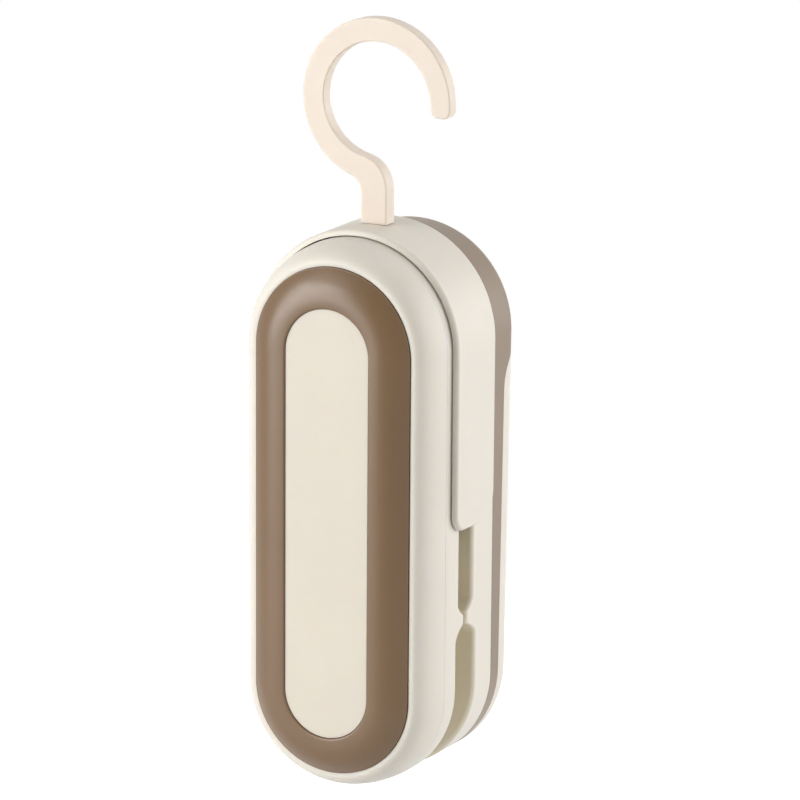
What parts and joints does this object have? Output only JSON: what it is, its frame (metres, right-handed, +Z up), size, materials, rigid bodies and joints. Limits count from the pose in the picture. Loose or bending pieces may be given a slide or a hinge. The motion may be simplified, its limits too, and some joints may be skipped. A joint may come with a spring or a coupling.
{
  "type": "handheld bag heat sealer",
  "caption": "Pocket bag heat sealer with a stadium-shaped press lever hinged over a battery base, sealing ridges between the jaws, a strap collar and a swivelling hanging hook.",
  "frame": {"origin": "the point the sealer hangs from: top of the inside of the hook's loop, at the middle of its thickness", "axes": "+Z up along the sealer towards the hook, +Y towards the back (the battery door), +X to the right seen from the front"},
  "size_m": [0.0476, 0.0447, 0.1624],
  "materials": {
    "cream_plastic": "satin moulded cream plastic",
    "panel_plastic": "satin moulded cream plastic, flat",
    "hook_plastic": "smooth pale cream plastic",
    "brown_plastic": "satin moulded brown plastic",
    "rear_brown_plastic": "satin moulded grey-brown plastic",
    "steel": "plain bright steel",
    "plated_contact": "nickel-plated brass",
    "silicone": "matt silicone",
    "heatproof_board": "matt heat-proof board",
    "non_stick_cloth": "smooth coated glass cloth",
    "black_plastic": "matt black plastic",
    "cell_jacket": "plain coloured cell jacket",
    "red_wire": "insulated wire",
    "black_wire": "insulated wire"
  },
  "bodies": {
    "base": {"base_shell": "cream_plastic", "rear_frame": "rear_brown_plastic", "hinge_collar": "cream_plastic", "hinge_pin": "steel", "return_spring": "steel", "heater_holder": "heatproof_board", "heating_strip": "steel", "cover_strip": "non_stick_cloth", "switch_body": "black_plastic", "battery_tray": "black_plastic", "battery_cell_1": "cell_jacket", "battery_cell_2": "cell_jacket", "contact_bridge": "plated_contact", "terminal_positive": "plated_contact", "terminal_negative": "plated_contact", "contact_spring_1": "steel", "contact_spring_2": "steel", "lead_positive": "red_wire", "lead_negative": "black_wire", "lead_switched": "red_wire", "base_screw_1": "steel", "base_screw_2": "steel"},
    "lever": {"lever_shell": "cream_plastic", "lever_plate": "cream_plastic", "grip_ring": "brown_plastic", "front_panel": "panel_plastic", "pressure_pad": "silicone", "lever_screw_1": "steel", "lever_screw_2": "steel", "lever_screw_3": "steel", "lever_screw_4": "steel"},
    "hanger": {"hook": "hook_plastic", "hook_retainer": "steel"},
    "door": {"battery_door": "cream_plastic"},
    "button": {"switch_button": "hook_plastic"}
  },
  "joints": [
    {"name": "lever_press", "type": "hinge", "parent": "base", "child": "lever", "pos_m": [0, -0.0017, -0.05285], "axis": [1, 0, 0], "range_deg": [0, 0.75], "stiffness_Nm_per_rad": 2, "springref_deg": -5.73, "deforming": ["return_spring"]},
    {"name": "hook_swivel", "type": "hinge", "parent": "base", "child": "hanger", "pos_m": [0, 0, -0.0386], "axis": [0, 0, 1], "continuous": true},
    {"name": "door_slide", "type": "slide", "parent": "base", "child": "door", "axis": [0, -0.0201, -0.9998], "range_m": [0, 0.008]},
    {"name": "switch_press", "type": "slide", "parent": "base", "child": "button", "axis": [0, 1, 0], "range_m": [0, 0.0006]}
  ],
  "couplings": [
    {"joint": "switch_press", "follows": "lever_press", "m_per_rad": 0.04}
  ]
}
